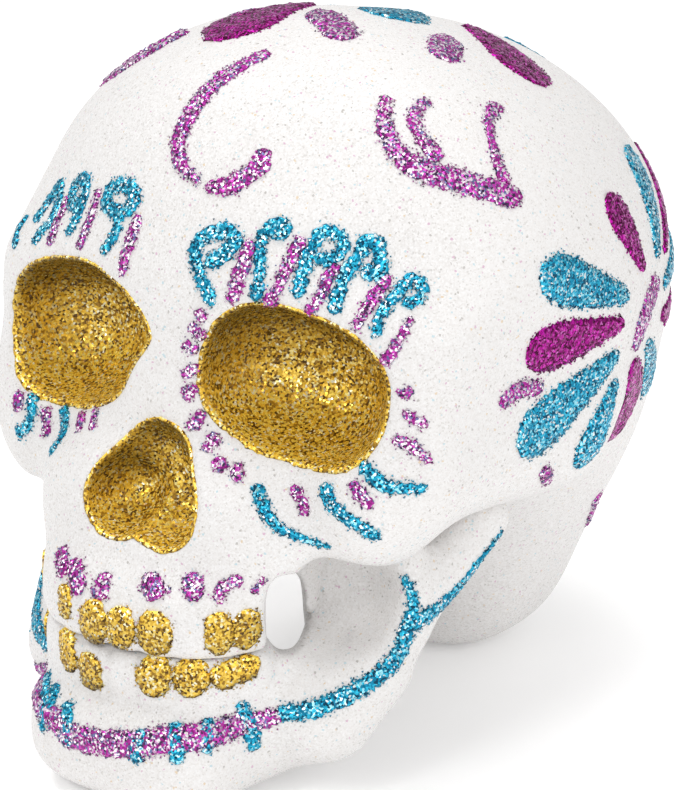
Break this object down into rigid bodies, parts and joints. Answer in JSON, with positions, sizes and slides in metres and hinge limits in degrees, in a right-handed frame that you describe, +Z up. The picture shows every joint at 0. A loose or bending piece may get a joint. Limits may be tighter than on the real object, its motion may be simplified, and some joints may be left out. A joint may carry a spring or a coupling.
{
  "type": "sugar skull decoration",
  "caption": "Foam skull decoration with white glitter, gold eye sockets, nose and teeth, and painted-on glitter flowers, lashes and scrolls; stands on chin and base.",
  "frame": {"origin": "on the resting surface, under the middle of the bounding box", "axes": "+Z up, the face looks along -Y, +X is the skull's own left"},
  "size_m": [0.148, 0.1828, 0.1663],
  "materials": {
    "white_glitter": "fine white glitter over moulded foam",
    "gold_glitter": "gold glitter in clear glue",
    "turquoise_glitter": "turquoise glitter in clear glue",
    "magenta_glitter": "magenta glitter in clear glue",
    "purple_glitter": "mixed purple glitter in clear glue"
  },
  "bodies": {
    "root": {"skull": "white_glitter", "jaw": "white_glitter", "chin_band": "purple_glitter", "crown_dot_1": "purple_glitter", "crown_dot_2": "purple_glitter", "crown_dot_3": "purple_glitter", "crown_petal_1": "magenta_glitter", "crown_petal_2": "turquoise_glitter", "crown_petal_3": "magenta_glitter", "crown_petal_4": "turquoise_glitter", "crown_petal_5": "magenta_glitter", "crown_petal_6": "turquoise_glitter", "flower_left_heart": "purple_glitter", "flower_left_petal_1": "turquoise_glitter", "flower_left_petal_10": "turquoise_glitter", "flower_left_petal_11": "magenta_glitter", "flower_left_petal_2": "magenta_glitter", "flower_left_petal_3": "turquoise_glitter", "flower_left_petal_4": "magenta_glitter", "flower_left_petal_5": "turquoise_glitter", "flower_left_petal_6": "turquoise_glitter", "flower_left_petal_7": "magenta_glitter", "flower_left_petal_8": "turquoise_glitter", "flower_left_petal_9": "magenta_glitter", "flower_right_heart": "purple_glitter", "flower_right_petal_1": "turquoise_glitter", "flower_right_petal_10": "turquoise_glitter", "flower_right_petal_11": "magenta_glitter", "flower_right_petal_2": "magenta_glitter", "flower_right_petal_3": "turquoise_glitter", "flower_right_petal_4": "magenta_glitter", "flower_right_petal_5": "turquoise_glitter", "flower_right_petal_6": "turquoise_glitter", "flower_right_petal_7": "magenta_glitter", "flower_right_petal_8": "turquoise_glitter", "flower_right_petal_9": "magenta_glitter", "jaw_line_left": "turquoise_glitter", "jaw_line_right": "turquoise_glitter", "lash_left_1": "turquoise_glitter", "lash_left_2": "turquoise_glitter", "lash_left_3": "turquoise_glitter", "lash_left_4": "turquoise_glitter", "lash_left_5": "turquoise_glitter", "lash_right_1": "turquoise_glitter", "lash_right_2": "turquoise_glitter", "lash_right_3": "turquoise_glitter", "lash_right_4": "turquoise_glitter", "nose_lining": "gold_glitter", "scroll_left": "purple_glitter", "scroll_middle": "purple_glitter", "scroll_right": "purple_glitter", "socket_lining_left": "gold_glitter", "socket_lining_right": "gold_glitter", "tooth_gold_lower_front": "gold_glitter", "tooth_gold_lower_left": "gold_glitter", "tooth_gold_lower_right": "gold_glitter", "tooth_gold_upper_front": "gold_glitter", "tooth_gold_upper_left": "gold_glitter", "tooth_gold_upper_right": "gold_glitter"}
  },
  "joints": []
}
